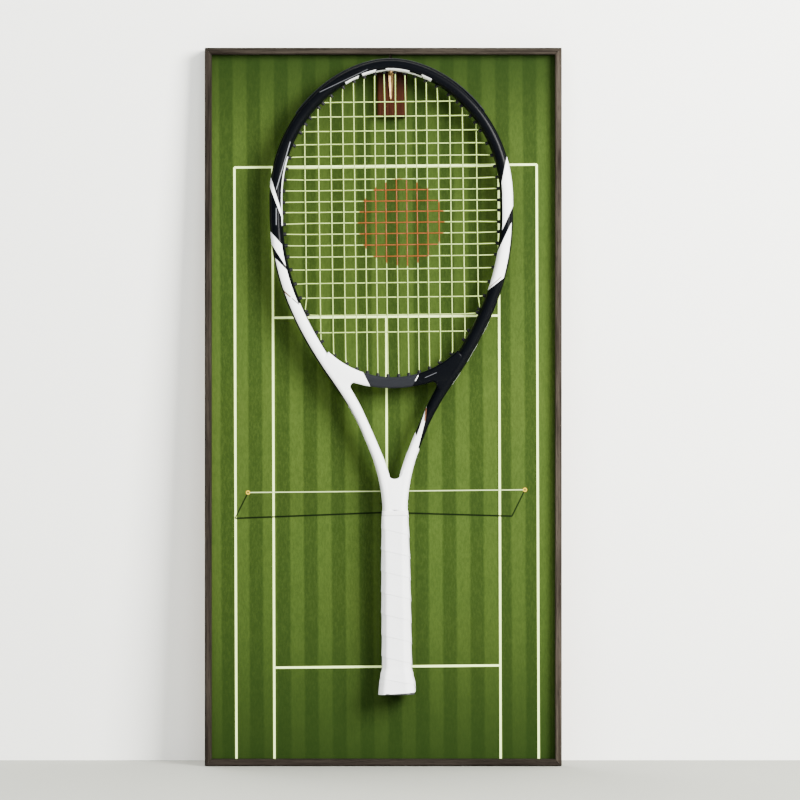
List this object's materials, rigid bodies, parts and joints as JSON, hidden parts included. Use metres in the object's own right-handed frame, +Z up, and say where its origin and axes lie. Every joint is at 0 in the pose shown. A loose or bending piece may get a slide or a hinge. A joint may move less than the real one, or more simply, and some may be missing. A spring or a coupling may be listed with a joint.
{
  "type": "wall racket rack",
  "caption": "Shallow wooden wall tray with a printed grass court behind a block and pin that hold one strung tennis racket by its hoop.",
  "frame": {"origin": "middle of the rear face of the top rail, on the wall", "axes": "+X to the viewer's right, +Y into the wall, +Z up, the racket's butt hanging down"},
  "size_m": [0.3864, 0.0553, 0.7772],
  "materials": {
    "dark_wood": "dark grey-brown stained, open grain",
    "board": "plain fibreboard",
    "court_print": "satin printed sheet of a grass court",
    "block_wood": "reddish-brown stain, satin",
    "brass": "polished",
    "zinc_steel": "zinc plated",
    "lacquer": "black, white and copper lacquer on a composite tube",
    "nylon": "moulded black nylon",
    "string": "pale natural synthetic string",
    "foam": "moulded foam",
    "grip": "white tacky wrap",
    "cap": "moulded white plastic"
  },
  "bodies": {
    "rack": {"rail_top": "dark_wood", "rail_right": "dark_wood", "rail_bottom": "dark_wood", "rail_left": "dark_wood", "corner_brad_top_left": "zinc_steel", "corner_brad_top_right": "zinc_steel", "corner_brad_bottom_left": "zinc_steel", "corner_brad_bottom_right": "zinc_steel", "backing_board": "board", "court_print": "court_print", "framing_point_left_1": "zinc_steel", "framing_point_left_2": "zinc_steel", "framing_point_left_3": "zinc_steel", "framing_point_right_1": "zinc_steel", "framing_point_right_2": "zinc_steel", "framing_point_right_3": "zinc_steel", "framing_point_top_1": "zinc_steel", "framing_point_top_2": "zinc_steel", "framing_point_bottom_1": "zinc_steel", "framing_point_bottom_2": "zinc_steel", "hanger_strap_left": "zinc_steel", "hanger_strap_right": "zinc_steel", "hanger_screw_left_upper": "zinc_steel", "hanger_screw_left_lower": "zinc_steel", "hanger_screw_right_upper": "zinc_steel", "hanger_screw_right_lower": "zinc_steel", "hook_block": "block_wood", "block_screw_upper": "zinc_steel", "block_screw_lower": "zinc_steel", "hook_plate": "brass", "plate_screw": "brass"},
    "pin": {"hook_pin": "brass"},
    "racket": {"racket_frame": "lacquer", "bumper_guard": "nylon", "grommet_strip_left": "nylon", "grommet_strip_right": "nylon", "main_strings": "string", "cross_strings": "string", "handle_pallet": "foam", "grip_wrap": "grip", "grip_collar": "grip", "butt_cap": "cap", "butt_plug": "cap"},
    "ring_left": {"hanger_ring_left": "zinc_steel"},
    "ring_right": {"hanger_ring_right": "zinc_steel"}
  },
  "joints": [
    {"name": "racket_swing", "type": "hinge", "parent": "rack", "child": "pin", "pos_m": [0.0081, -0.0265, -0.0265], "axis": [0, 1, 0], "range_deg": [-12, 15]},
    {"name": "racket_pull_off", "type": "slide", "parent": "pin", "child": "racket", "axis": [0, -0.9903, 0.1392], "range_m": [0, 0.12]},
    {"name": "hanger_ring_left", "type": "hinge", "parent": "rack", "child": "ring_left", "pos_m": [-0.11, -0.0024, -0.062], "axis": [1, 0, 0], "range_deg": [0, 180]},
    {"name": "hanger_ring_right", "type": "hinge", "parent": "rack", "child": "ring_right", "pos_m": [0.11, -0.0024, -0.062], "axis": [1, 0, 0], "range_deg": [0, 180]}
  ]
}
